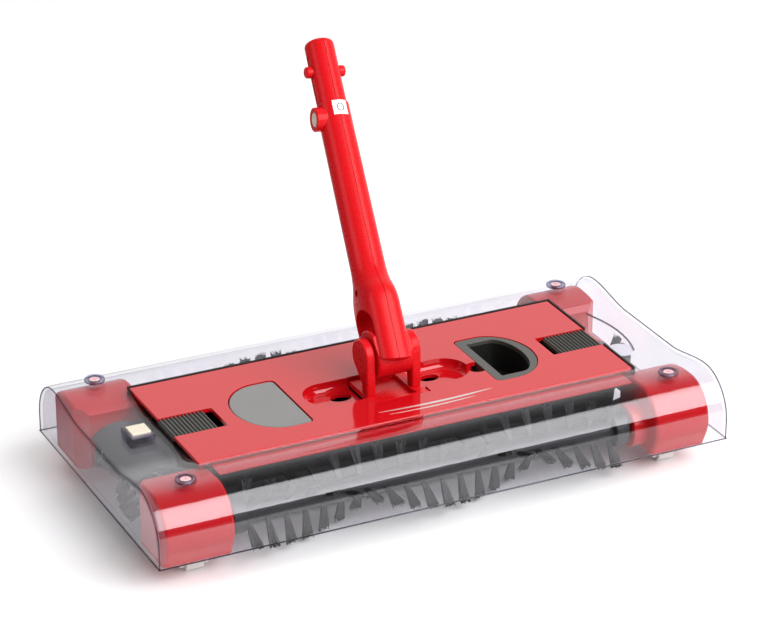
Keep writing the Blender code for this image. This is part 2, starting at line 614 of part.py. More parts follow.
def make_handle_half(side, name):
    """One of the two mouldings that meet along the handle: fork, tube and spigot."""
    half = loft(name, [half_superellipse(side, sx, sy, z, power)
                       for z, sx, sy, power in HANDLE_RINGS], HANDLE)
    if side < 0:
        join(half, rod("magnet_boss", "X", (0, MAGNET_H), -12.0, -5.0, 6.5, 24, HANDLE))
    round_end = [(-9.4, 20.0), (-9.4, 0.0)] + arc(0, 0, 9.0, 180, 360, 14) + [(9.4, 0.0), (9.4, 20.0)]
    frame_box = [(-20, -30), (20, -30), (20, 20)] + round_end[::-1] + [(-20, 20)]
    cut(half, prism("end_trim", frame_box, "Y", -30, 30, HANDLE))
    arch = [(THROAT_R * math.cos(a), THROAT_MID + THROAT_RISE * math.sin(a))
            for a in (math.radians(18 * i) for i in range(11))]
    arch = [(THROAT_R, -20)] + arch + [(-THROAT_R, -20)]
    cut(half, prism("throat", arch, "X", -30, 30, HANDLE),
        rod("bore", "Z", (0, 0), 46, HANDLE_L + 10, 6.3, 24, HANDLE),
        rod("pin_bore", "Y", (0, 0), -30, 30, 2.9, 20, HANDLE),
        rod("button_hole", "X", (0, BUTTON_H), -30, 30, 3.5, 20, HANDLE))
    if side < 0:
        cut(half, rod("magnet_pocket", "X", (0, MAGNET_H), -20.0, -9.4, 4.2, 20, HANDLE))
    return paint(half, RED, 0, 0.3)


def make_fork_pin():
    return paint(rod("fork_pin", "Y", (0, 0), -15.2, 15.2, 2.6, 20, HANDLE), STEEL, 1, 0.3)


def make_button(side, name):
    x0, x1 = sorted((side * 4.6, side * 11.2))
    button = rod(name, "X", (0, BUTTON_H), x0, x1, 3.2, 20, HANDLE)
    soften(button, 0.8, 2, 60)
    hang(name, *(HANDLE @ Vector((0, 0, BUTTON_H * MM)) / MM))
    return paint(button, RED, 0, 0.3)


# ---- build --------------------------------------------------------------------------
CORNERS = ((-1, -1), (1, -1), (-1, 1), (1, 1))


def build():
    make_cover()
    make_panel()
    make_chassis()
    make_tray()
    make_guard()
    paint(box("keeper_plate", (-141.3, -4.5, VALLEY_Z + 0.9), (-130.9, 5.5, 49.0)), CREAM)
    for number, (sx, sy) in enumerate(CORNERS, 1):
        make_gearbox(sx, sy)
        make_wheel(sx, sy, number)
        make_screw(sx, sy, number)
        words = ("rear" if sy > 0 else "front") + ("_right" if sx > 0 else "_left")
        make_mitre("mitre_gear_%s_a" % words, sx, sy, "X")
        make_mitre("mitre_gear_%s_b" % words, sx, sy, "Y")
    for name, sy, hand in (("front_brush", -1, 1), ("rear_brush", 1, -1)):
        make_brush(name, "X", (sy * BRUSH_Y, BRUSH_Z), -113.6, 110.0, TIP_R, -125.0, 125.0, hand)
    edge = BRUSH_Y - 13.0
    make_brush("side_brush_left", "Y", (-BRUSH_X, BRUSH_Z), -37.5, 24.0, SIDE_TIP_R, -edge, edge, 1)
    make_brush("side_brush_right", "Y", (BRUSH_X, BRUSH_Z), -37.5, 18.5, SIDE_TIP_R, -edge, edge, -1)
    make_motor()
    make_pulley("motor_pulley", MOTOR_X, MOTOR_Z, PULLEY_R, 1.5)
    make_pulley("brush_pulley", -BRUSH_X, BRUSH_Z, DRIVEN_R, 3.2)
    make_belt()
    make_pack()
    make_pedal()
    paint(box("microswitch", (-74, -5.4, 36.8), (-64, 1.4, 37.6)), BLACK)
    for side, word in ((-1, "left"), (1, "right")):
        make_latch(side, "latch_" + word)
        x = side * (90.2 if side > 0 else 81.6)
        coil("latch_spring_" + word, (x, -4, 40.4), (x + side * 6.2, -4, 40.4), 1.8, 0.6, 4)
        make_hinge_pin(side, "tray_hinge_pin_" + word)
        make_pitch_pin(side, "pitch_pin_" + word)
        make_handle_half(side, "handle_shell_" + word)
        make_button(side, "snap_button_" + word)
    make_yoke()
    make_knuckle()
    make_fork_pin()
    paint(rod("handle_magnet", "X", (0, MAGNET_H), -11.8, -9.7, 3.9, 20, HANDLE), CREAM)
    settle()


def settle():
    """Move the head frame onto the part's origin, below the middle of the whole object."""
    shift = Matrix.Translation((0, SHIFT_Y * MM, 0))
    for obj in list(PARTS.objects) + list(CUTTERS.objects):
        obj.matrix_world = shift @ obj.matrix_world


build()
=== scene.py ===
"""Studio scene of the carpet sweeper head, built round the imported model.

Fine pieces stand for the plain nodes of the model.
"""
import math
import random

import bmesh
import bpy
from mathutils import Matrix, Vector


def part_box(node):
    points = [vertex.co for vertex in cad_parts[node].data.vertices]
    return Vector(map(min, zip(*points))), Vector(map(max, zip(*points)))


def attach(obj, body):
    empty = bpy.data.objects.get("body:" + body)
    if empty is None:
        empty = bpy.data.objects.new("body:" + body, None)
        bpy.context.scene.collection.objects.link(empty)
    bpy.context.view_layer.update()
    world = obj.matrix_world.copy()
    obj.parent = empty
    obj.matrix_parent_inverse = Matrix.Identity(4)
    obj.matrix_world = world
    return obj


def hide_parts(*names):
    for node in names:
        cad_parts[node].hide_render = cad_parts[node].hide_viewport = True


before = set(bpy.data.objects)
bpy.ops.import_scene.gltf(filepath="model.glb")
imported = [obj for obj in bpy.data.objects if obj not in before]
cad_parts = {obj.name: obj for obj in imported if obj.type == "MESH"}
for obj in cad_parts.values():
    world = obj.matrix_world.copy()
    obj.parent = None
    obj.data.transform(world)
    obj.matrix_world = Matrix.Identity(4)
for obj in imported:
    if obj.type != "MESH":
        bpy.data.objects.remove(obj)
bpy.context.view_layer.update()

MM = 0.001
COVER_LO, COVER_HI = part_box("clear_cover")
HEAD_Y = (COVER_LO[1] + COVER_HI[1]) / 2      # rear-to-front middle of the head, in metres
HEAD = Matrix.Translation((0, HEAD_Y, 0))
HALF_W, HALF_D = 160.0, 83.0
FOOT, WALL = 15.0, 1.8
ROLL_R, ROLL_Z, VALLEY_Z = 24.0, 25.5, 45.0
BRUSH_X, BRUSH_Y, BRUSH_Z = 138.0, 59.0, 22.8
PANEL_X, PANEL_Y, PANEL_TOP = 123.3, 46.7, 48.5
PIVOT = Vector((0.0, -5.0, 66.0))
LEAN, ROLL = math.radians(45.0), math.radians(6.5)
HANDLE_L, BUTTON_H, MAGNET_H = 177.0, 160.0, 132.5
EAR_IN, EAR_OUT, EAR_R = 10.3, 15.6, 9.2
D_X, D_BACK, D_FRONT, D_CURVE = 52.5, 22.4, -29.5, 85.5
LATCH_Y0, LATCH_Y1 = -14.4, 6.5
LATCH_X0, LATCH_X1, LATCH_RIBS = 98.2, 123.0, 12
LEG_X0, LEG_X1 = 111.4, 113.2                 # each latch's leg
WHEEL_X, WHEEL_Y, WHEEL_R = 134.0, 62.0, 4.4
SCREW_X, SCREW_Y = 136.0, 61.0
GRIP_LO, GRIP_WALL = 28.5, 5.2                # underside and wall of the battery grip
TINE_W, TINE_END = 10.9, 9.6                  # half width and end of the fork's tines
THROAT_R, THROAT_MID, THROAT_RISE = 11.5, 12.0, 11.0
TUFT_LO, TUFT_HI, TUFT_TIP = -113.6, 110.0, 21.4
SIDE_TIP = 18.4
LONG_SHAFT, SHORT_SHAFT = (-125.0, 125.0), (-46.0, 46.0)
SEAM = 0.12                                   # half the gap between the handle mouldings
CORNERS = ((-1, -1), (1, -1), (-1, 1), (1, 1))

KNUCKLE = HEAD @ Matrix.Translation(PIVOT * MM) @ Matrix.Rotation(-LEAN, 4, "X")
HANDLE = KNUCKLE @ Matrix.Rotation(ROLL, 4, "Y")


# ---- materials ----------------------------------------------------------------------
def new_material(name):
    mat = bpy.data.materials.new(name)
    mat.use_nodes = True
    return mat, mat.node_tree.nodes, mat.node_tree.links, mat.node_tree.nodes["Principled BSDF"]


def noise(nodes, links, scale, detail=3.0, stretch=(1, 1, 1)):
    coord = nodes.new("ShaderNodeTexCoord")
    mapping = nodes.new("ShaderNodeMapping")
    mapping.inputs["Scale"].default_value = stretch
    tex = nodes.new("ShaderNodeTexNoise")
    tex.inputs["Scale"].default_value = scale
    tex.inputs["Detail"].default_value = detail
    links.new(coord.outputs["Object"], mapping.inputs["Vector"])
    links.new(mapping.outputs["Vector"], tex.inputs["Vector"])
    return tex.outputs["Fac"]


def spread(nodes, links, source, low, high):
    ramp = nodes.new("ShaderNodeMapRange")
    ramp.inputs["From Min"].default_value = 0.3
    ramp.inputs["From Max"].default_value = 0.7
    ramp.inputs["To Min"].default_value = low
    ramp.inputs["To Max"].default_value = high
    links.new(source, ramp.inputs["Value"])
    return ramp.outputs["Result"]


def mix_colours(nodes, links, factor, first, second):
    mix = nodes.new("ShaderNodeMix")
    mix.data_type = "RGBA"
    mix.inputs["A"].default_value = (*first, 1)
    mix.inputs["B"].default_value = (*second, 1)
    links.new(factor, mix.inputs["Factor"])
    return mix.outputs["Result"]


def multiply(nodes, links, first, second):
    step = nodes.new("ShaderNodeMath")
    step.operation = "MULTIPLY"
    links.new(first, step.inputs[0])
    links.new(second, step.inputs[1])
    return step.outputs["Value"]


def see_through(nodes, links, shader, cover):
    """Mix the shader over a transparent one, which is returned; cover is the shader's share."""
    through = nodes.new("ShaderNodeBsdfTransparent")
    blend = nodes.new("ShaderNodeMixShader")
    links.new(cover, blend.inputs["Fac"])
    links.new(through.outputs["BSDF"], blend.inputs[1])
    links.new(shader.outputs["BSDF"], blend.inputs[2])
    links.new(blend.outputs["Shader"], nodes["Material Output"].inputs["Surface"])
    return through


def moulded(name, colour, rough, grain=900.0, bump=0.05, tone=0.06, metallic=0.0, coat=0.0,
            stretch=(1, 1, 1), specular=0.5):
    """Moulded plastic, rubber or metal: slight tone drift, uneven gloss and a fine grain."""
    mat, nodes, links, shader = new_material(name)
    drift = noise(nodes, links, 35.0, 2.0)
    darker = [c * (1 - tone) for c in colour]
    lighter = [min(1, c * (1 + tone)) for c in colour]
    links.new(mix_colours(nodes, links, drift, darker, lighter), shader.inputs["Base Color"])
    fine = noise(nodes, links, grain, 4.0, stretch)
    links.new(spread(nodes, links, fine, rough * 0.8, rough * 1.25), shader.inputs["Roughness"])
    height = nodes.new("ShaderNodeBump")
    height.inputs["Strength"].default_value = bump
    height.inputs["Distance"].default_value = 0.0002
    links.new(fine, height.inputs["Height"])
    links.new(height.outputs["Normal"], shader.inputs["Normal"])
    shader.inputs["Metallic"].default_value = metallic
    shader.inputs["Coat Weight"].default_value = coat
    shader.inputs["Coat Roughness"].default_value = 0.03
    shader.inputs["Specular IOR Level"].default_value = specular
    return mat


def clear(name, tint, least, rough=0.03):
    """Clear plastic wall: it mirrors by angle and tints what is seen through it."""
    mat, nodes, links, shader = new_material(name)
    facing = nodes.new("ShaderNodeLayerWeight")
    facing.inputs["Blend"].default_value = 0.5
    power = nodes.new("ShaderNodeMath")
    power.operation = "POWER"
    power.inputs[1].default_value = 5.0
    links.new(facing.outputs["Facing"], power.inputs[0])
    span = nodes.new("ShaderNodeMapRange")
    span.inputs["To Min"].default_value = least
    span.inputs["To Max"].default_value = 0.95
    links.new(power.outputs["Value"], span.inputs["Value"])
    soft = noise(nodes, links, 60.0, 2.0)
    links.new(spread(nodes, links, soft, rough * 0.7, rough * 1.4), shader.inputs["Roughness"])
    shader.inputs["Metallic"].default_value = 1.0
    shader.inputs["Base Color"].default_value = (0.95, 0.95, 0.97, 1)
    through = see_through(nodes, links, shader, span.outputs["Result"])
    deeper = [c * 0.98 for c in tint]
    links.new(mix_colours(nodes, links, soft, tint, deeper), through.inputs["Color"])
    return mat


def frosted(name, colour, cover):
    """Milky clear plastic: part of what is behind it shows through."""
    mat, nodes, links, shader = new_material(name)
    grain = noise(nodes, links, 400.0, 3.0)
    links.new(spread(nodes, links, grain, 0.35, 0.5), shader.inputs["Roughness"])
    shader.inputs["Base Color"].default_value = (*colour, 1)
    see_through(nodes, links, shader, spread(nodes, links, grain, cover - 0.04, cover + 0.04))
    return mat


RED_GLOSS = moulded("red_gloss", (0.50, 0.004, 0.008), 0.07, 500, 0.004, 0.03, coat=0.25)
RED_SATIN = moulded("red_satin", (0.60, 0.005, 0.009), 0.28, 700, 0.012, 0.04, specular=0.18)
RED_CASE = moulded("red_case", (0.50, 0.004, 0.008), 0.2, 700, 0.01, 0.04)
BLACK = moulded("black_plastic", (0.010, 0.010, 0.011), 0.35, 1200, 0.10, 0.2)
DARK = moulded("dark_plastic", (0.062, 0.060, 0.052), 0.34, 1500, 0.05, 0.1)
# The dust tray's own colour, also used as painted shade inside the battery grip.
DEEP = moulded("deep_plastic", (0.006, 0.0055, 0.005), 0.5, 1200, 0.05, 0.2)
SILVER = moulded("silver_plastic", (0.20, 0.195, 0.19), 0.25, 1800, 0.05, 0.08, 0.3, 0.3)
BRISTLE = moulded("bristle", (0.010, 0.010, 0.010), 0.55, 2500, 0.15, 0.3, stretch=(1, 1, 0.1))
CORE = moulded("brush_core", (0.016, 0.016, 0.017), 0.4, 900, 0.05, 0.1)
WHITE = moulded("white_plastic", (0.72, 0.72, 0.70), 0.35, 900, 0.05, 0.04)
RUBBER = moulded("belt_rubber", (0.012, 0.012, 0.012), 0.65, 1800, 0.25, 0.2)
STEEL = moulded("steel", (0.55, 0.55, 0.56), 0.25, 1500, 0.08, 0.05, 1.0, 0, (1, 8, 1))
KEEPER = moulded("keeper_metal", (0.74, 0.66, 0.52), 0.32, 1600, 0.06, 0.05, 0.2)
PAPER = moulded("label_paper", (0.85, 0.85, 0.83), 0.5, 2500, 0.08, 0.03)
INK = moulded("label_ink", (0.02, 0.02, 0.02), 0.5, 2500, 0.05, 0.1)
FOIL = moulded("silver_print", (0.62, 0.60, 0.58), 0.28, 2000, 0.04, 0.05, 0.5)
CLEAR = clear("clear_cover", (0.955, 0.95, 0.972), 0.042)
# Dark clear tint, the painted shade of the edge lines on the cover and its rings.
EDGE_SHADE = clear("clear_edge_shade", (0.30, 0.29, 0.38), 0.05, 0.1)
RING = clear("clear_ring", (0.66, 0.64, 0.74), 0.06, 0.08)
HAZE = frosted("clear_disc", (0.90, 0.87, 0.90), 0.72)
PIN = moulded("screw_metal", (0.82, 0.52, 0.55), 0.3, 1200, 0.03, 0.05, 0.2)


# ---- mesh helpers -------------------------------------------------------------------
def place(bm, name, at=None):
    bm.transform(Matrix.Scale(MM, 4))
    bmesh.ops.recalc_face_normals(bm, faces=bm.faces)
    mesh = bpy.data.meshes.new(name)
    bm.to_mesh(mesh)
    bm.free()
    obj = bpy.data.objects.new(name, mesh)
    bpy.context.scene.collection.objects.link(obj)
    obj.matrix_world = at or HEAD
    return obj


def box(name, low, high, at=None):
    bm = bmesh.new()
    bmesh.ops.create_cube(bm, size=1.0)
    for v in bm.verts:
        v.co = Vector(low[i] + (v.co[i] + 0.5) * (high[i] - low[i]) for i in range(3))
    return place(bm, name, at)


TURN = {"X": Matrix.Rotation(math.pi / 2, 4, "Y"), "Y": Matrix.Rotation(-math.pi / 2, 4, "X"),
        "Z": Matrix.Identity(4)}
SPREAD = {"X": Matrix(((0, 0, 1, 0), (1, 0, 0, 0), (0, 1, 0, 0), (0, 0, 0, 1))),
          "Y": Matrix(((1, 0, 0, 0), (0, 0, 1, 0), (0, 1, 0, 0), (0, 0, 0, 1))),
          "Z": Matrix.Identity(4)}


def rod(name, axis, centre, lo, hi, r, sides=64, at=None):
    """A round bar along an axis, from lo to hi; centre holds the two other coordinates."""
    bm = bmesh.new()
    bmesh.ops.create_cone(bm, cap_ends=True, segments=sides, radius1=r, radius2=r, depth=hi - lo)
    mid = (lo + hi) / 2
    spot = {"X": (mid, *centre), "Y": (centre[0], mid, centre[1]), "Z": (*centre, mid)}[axis]
    bm.transform(Matrix.Translation(spot) @ TURN[axis])
    return place(bm, name, at)


def prism(name, outline, axis, lo, hi, at=None):
    """A flat outline pushed along an axis: (y, z) along X, (x, z) along Y, (x, y) along Z."""
    bm = bmesh.new()
    face = bm.faces.new([bm.verts.new((u, v, lo)) for u, v in outline])
    grown = bmesh.ops.extrude_face_region(bm, geom=[face])
    moved = [g for g in grown["geom"] if isinstance(g, bmesh.types.BMVert)]
    bmesh.ops.translate(bm, vec=(0, 0, hi - lo), verts=moved)
    bm.transform(SPREAD[axis])
    return place(bm, name, at)


def skin(bm, loops):
    """Faces between rings of vertices, with a cap at each end."""
    count = len(loops[0])
    for a, b in zip(loops, loops[1:]):
        for i in range(count):
            j = (i + 1) % count
            bm.faces.new((a[i], a[j], b[j], b[i]))
    bm.faces.new(loops[0])
    bm.faces.new(loops[-1])


def loft(name, rings, at=None):
    bm = bmesh.new()
    skin(bm, [[bm.verts.new(p) for p in ring] for ring in rings])
    return place(bm, name, at)


def tube(name, points, r, at=None, closed=False):
    """A round line through points, for the cover's edges and rings and the label's ring."""
    curve = bpy.data.curves.new(name, "CURVE")
    curve.dimensions = "3D"
    curve.bevel_depth = r * MM
    curve.bevel_resolution = 3
    curve.use_fill_caps = True
    spline = curve.splines.new("POLY")
    spline.points.add(len(points) - 1)
    for point, co in zip(spline.points, points):
        point.co = (co[0] * MM, co[1] * MM, co[2] * MM, 1)
    spline.use_cyclic_u = closed
    obj = bpy.data.objects.new(name, curve)
    bpy.context.scene.collection.objects.link(obj)
    obj.matrix_world = at or HEAD
    return obj


def arc(cx, cy, r, a0, a1, steps):
    angles = [math.radians(a0 + (a1 - a0) * i / steps) for i in range(steps + 1)]
    return [(cx + r * math.cos(a), cy + r * math.sin(a)) for a in angles]


def boolean(target, tools, operation):
    for tool in tools:
        mod = target.modifiers.new("shape", "BOOLEAN")
        mod.operation = operation
        mod.solver = "EXACT"
        mod.object = tool
    apply(target)
    for tool in tools:
        bpy.data.objects.remove(tool, do_unlink=True)
    return target


def cut(target, *tools):
    return boolean(target, tools, "DIFFERENCE")


def join(target, *tools):
    return boolean(target, tools, "UNION")


def apply(obj):
    graph = bpy.context.evaluated_depsgraph_get()
    mesh = bpy.data.meshes.new_from_object(obj.evaluated_get(graph))
    obj.modifiers.clear()
    obj.data = mesh
    return obj


def soften(obj, width, segments=3, angle=40):
    mod = obj.modifiers.new("bevel", "BEVEL")
    mod.width = width * MM
    mod.segments = segments
    mod.limit_method = "ANGLE"
    mod.angle_limit = math.radians(angle)
    return apply(obj)


def dress(obj, material, body, slot, *nodes, sharp=35):
    """Smooth shading, material, body and the plain nodes this piece stands for; the finish slot is not
    used.
    """
    if obj.type == "MESH":
        obj.data.materials.clear()
        obj.data.materials.append(material)
        obj.data.shade_smooth()
        obj.data.set_sharp_from_angle(angle=math.radians(sharp))
        flat = obj.modifiers.new("flat", "WEIGHTED_NORMAL")
        flat.keep_sharp = True
        flat.weight = 100
    else:
        obj.data.materials.append(material)
    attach(obj, body)
    if nodes:
        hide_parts(*nodes)
    return obj


# ---- outlines shared with the model -------------------------------------------------
def smooth(t):
    t = min(1.0, max(0.0, t))
    return t * t * (3 - 2 * t)


def valley(y):
    t = (abs(y) - 24.0) / (BRUSH_Y - 24.0)
    return VALLEY_Z + (ROLL_Z + ROLL_R - VALLEY_Z) * smooth(t)


def cover_outline(inset, foot, steps=30):
    right = [(HALF_D - inset, foot)] + arc(BRUSH_Y, ROLL_Z, ROLL_R - inset, 0, 90, steps)
    dip = [(y, valley(y) - inset) for y in range(57, 22, -2)]
    half = right + dip
    return half + [(-y, z) for y, z in reversed(half)]


def d_outline(grow, side, steps=32):
    x0, y0, y1 = D_X - grow, D_FRONT - grow, D_BACK + grow
    mid, half = (y0 + y1) / 2, (y1 - y0) / 2
    depth = D_CURVE - D_X + 2 * grow - 12
    bow = [(x0 + 12 + depth * math.cos(a), mid + half * math.sin(a))
           for a in (math.radians(-90 + 180 * i / steps) for i in range(steps + 1))]
    r = 3.0 + grow * 0.5
    points = arc(x0 + r, y0 + r, r, 180, 270, 8) + bow + arc(x0 + r, y1 - r, r, 90, 180, 8)
    return points if side > 0 else [(-x, y) for x, y in reversed(points)]


def racetrack(half, reach=46.6):
    c = reach - 13.1
    return arc(c, PIVOT.y, half, -90, 90, 28) + arc(-c, PIVOT.y, half, 90, 270, 28)


# ---- camera, light and floor --------------------------------------------------------
def make_camera():
    data = bpy.data.cameras.new("camera")
    data.lens = 149.96
    data.sensor_width = 36.0
    camera = bpy.data.objects.new("camera", data)
    bpy.context.scene.collection.objects.link(camera)
    azimuth, elevation = math.radians(-25.8886), math.radians(24.964)
    camera.location = (-0.6505, -1.3425 + HEAD_Y, 0.7821)
    camera.rotation_euler = (math.pi / 2 - elevation, 0, azimuth)
    bpy.context.scene.camera = camera


def make_light(name, spot, target, size_x, size_y, power):
    data = bpy.data.lights.new(name, "AREA")
    data.shape = "RECTANGLE"
    data.size, data.size_y = size_x, size_y
    data.energy = power
    lamp = bpy.data.objects.new(name, data)
    bpy.context.scene.collection.objects.link(lamp)
    lamp.location = spot
    lamp.rotation_euler = (Vector(target) - Vector(spot)).to_track_quat("-Z", "Y").to_euler()
    return lamp


def floor_paint():
    """Near white; seen in glossy rays only, its colour is painted darker towards the rear left, a painted
    shade of its reflection in the object.
    """
    mat, nodes, links, shader = new_material("floor_paint")
    grain = noise(nodes, links, 20.0, 2.0)
    links.new(spread(nodes, links, grain, 0.55, 0.65), shader.inputs["Roughness"])
    shader.inputs["Specular IOR Level"].default_value = 0.25
    coord = nodes.new("ShaderNodeTexCoord")
    split = nodes.new("ShaderNodeSeparateXYZ")
    links.new(coord.outputs["Object"], split.inputs["Vector"])
    # Painted shade: only glossy rays see the floor darkened towards the rear left.
    path = nodes.new("ShaderNodeLightPath")
    shade = path.outputs["Is Glossy Ray"]
    for axis, start, end in (("X", 0.05, -0.12), ("Y", -0.02, 0.12)):
        ramp = nodes.new("ShaderNodeMapRange")
        ramp.inputs["From Min"].default_value = start
        ramp.inputs["From Max"].default_value = end
        links.new(split.outputs[axis], ramp.inputs["Value"])
        shade = multiply(nodes, links, shade, ramp.outputs["Result"])
    tone = mix_colours(nodes, links, shade, (0.93, 0.93, 0.93), (0.16, 0.15, 0.17))
    links.new(tone, shader.inputs["Base Color"])
    return mat


def make_studio():
    bm = bmesh.new()
    bmesh.ops.create_grid(bm, x_segments=1, y_segments=1, size=6000)
    floor = place(bm, "floor", Matrix.Identity(4))
    floor.data.materials.append(floor_paint())
    make_light("softbox_front", (0.78, -1.38, 1.45), (0, 0, 0.35), 2.6, 1.75, 78)
    make_light("softbox_left", (-2.2, 0.2, 1.3), (0, 0, 0), 1.2, 1.2, 10)
    fill = make_light("ceiling_fill", (0, 0, 3.0), (0, 0, 0), 4.5, 4.5, 34)
    fill.visible_glossy = False
    make_world()


def make_world():
    """A white room behind the object, darker overhead and towards the camera."""
    world = bpy.data.worlds.new("studio")
    bpy.context.scene.world = world
    world.use_nodes = True
    nodes, links = world.node_tree.nodes, world.node_tree.links
    back = nodes["Background"]
    coord = nodes.new("ShaderNodeTexCoord")
    split = nodes.new("ShaderNodeSeparateXYZ")
    links.new(coord.outputs["Generated"], split.inputs["Vector"])

    def fade(source, start, end, first, last):
        ramp = nodes.new("ShaderNodeMapRange")
        ramp.interpolation_type = "SMOOTHSTEP"
        ramp.inputs["From Min"].default_value = start
        ramp.inputs["From Max"].default_value = end
        ramp.inputs["To Min"].default_value = first
        ramp.inputs["To Max"].default_value = last
        links.new(source, ramp.inputs["Value"])
        return ramp.outputs["Result"]

    depth = fade(split.outputs["Y"], -0.7, 0.55, 0.04, 1.0)
    height = fade(split.outputs["Z"], 0.70, 0.95, 1.0, 0.35)
    side = fade(split.outputs["X"], -0.7, 0.1, 0.15, 1.0)
    product = multiply(nodes, links, multiply(nodes, links, depth, height), side)
    path = nodes.new("ShaderNodeLightPath")
    pick = nodes.new("ShaderNodeMix")
    pick.data_type = "FLOAT"
    pick.inputs["B"].default_value = 1.0
    links.new(path.outputs["Is Camera Ray"], pick.inputs["Factor"])
    links.new(product, pick.inputs["A"])
    links.new(pick.outputs["Result"], back.inputs["Strength"])
    back.inputs["Color"].default_value = (1, 1, 1, 1)
    bpy.context.scene.view_settings.view_transform = "Standard"


# ---- cover and panel ----------------------------------------------------------------
def make_cover():
    cover = soften(prism("clear_cover_shell", cover_outline(0, FOOT), "X", -HALF_W, HALF_W), 2.4, 4, 60)
    cut(cover, prism("inside", cover_outline(WALL, FOOT - 6), "X", -HALF_W + WALL, HALF_W - WALL))
    cut(cover, box("window", (-PANEL_X - 0.4, -PANEL_Y - 0.4, 40), (PANEL_X + 0.4, PANEL_Y + 0.4, 60)))
    dress(cover, CLEAR, "head", "clear_plastic", "clear_cover", sharp=25)
    make_cover_lines()
    for number, (sx, sy) in enumerate(CORNERS, 1):
        make_screw(number, (sx * SCREW_X, sy * SCREW_Y))
    disc = soften(rod("cover_disc", "Z", (134.0, -15.0), 42.7, 43.1, 7.4, 64), 0.15)
    dress(disc, HAZE, "head", "clear_plastic")
    make_keeper()


def make_cover_lines():
    """Painted shade: dark lines along the edges of the cover and along the curved rib at its right end,
    standing in for the dark look of thick clear plastic at its edges.
    """
    foot = [(-HALF_W, -HALF_D), (HALF_W, -HALF_D), (HALF_W, HALF_D), (-HALF_W, HALF_D)]
    inner = 0.3
    line = [(x - math.copysign(inner, x), y - math.copysign(inner, y), FOOT + 0.45) for x, y in foot]
    dress(tube("cover_foot_edge_shade", line, 0.42, closed=True), EDGE_SHADE, "head", "clear_plastic")
    for side, word in ((-1, "left"), (1, "right")):
        edge = [(side * (HALF_W - 0.55), y, z) for y, z in cover_outline(0.55, FOOT, 24)]
        dress(tube("cover_end_edge_shade_" + word, edge, 0.34), EDGE_SHADE, "head", "clear_plastic")
    rib = [(74 + 70 * math.cos(a), 5 + 70 * math.sin(a)) for a in
           (math.radians(-20 + 2.2 * i) for i in range(20))]
    rib = [(x, y, valley(y) - WALL + 0.2) for x, y in rib]
    dress(tube("cover_rib_right", rib, 0.5), EDGE_SHADE, "head", "clear_plastic")


def make_screw(number, centre):
    """A raised ring of the cover with two dark edge lines of painted shade and the cross-slotted screw in
    it.
    """
    ring = rod("ring", "Z", centre, 48.9, 50.5, 5.4, 48)
    cut(ring, rod("hole", "Z", centre, 40, 60, 3.3, 40))
    ring.name = "cover_ring_%d" % number
    dress(soften(ring, 0.5), RING, "head", "clear_plastic")
    # Painted shade: two dark lines at the ring's edges.
    for r, z in ((5.2, 49.3), (3.5, 50.2)):
        loop = [(*p, z) for p in arc(*centre, r, 0, 350, 35)]
        line = tube("cover_ring_line_%d_%d" % (number, r), loop, 0.22, closed=True)
        dress(line, EDGE_SHADE, "head", "clear_plastic")
    screw = soften(rod("screw", "Z", centre, 47.8, 49.9, 2.9, 32), 0.5)
    x, y = centre
    cut(screw, box("slot_a", (x - 1.6, y - 0.35, 49.4), (x + 1.6, y + 0.35, 52)),
        box("slot_b", (x - 0.35, y - 1.6, 49.4), (x + 0.35, y + 1.6, 52)))
    screw.name = "cover_screw_head_%d" % number
    dress(screw, PIN, "head", "steel", "cover_screw_%d" % number)


def make_keeper():
    socket = box("keeper_socket", (-143, -6, VALLEY_Z - 1), (-129.3, 7, 48.2))
    cut(socket, box("pocket", (-141.6, -4.8, VALLEY_Z + 0.6), (-130.6, 5.8, 50)))
    dress(soften(socket, 0.5), RING, "head", "clear_plastic")
    plate = box("keeper_square", (-141.3, -4.5, VALLEY_Z + 0.9), (-130.9, 5.5, 49.0))
    dress(soften(plate, 0.5), KEEPER, "head", "keeper", "keeper_plate")


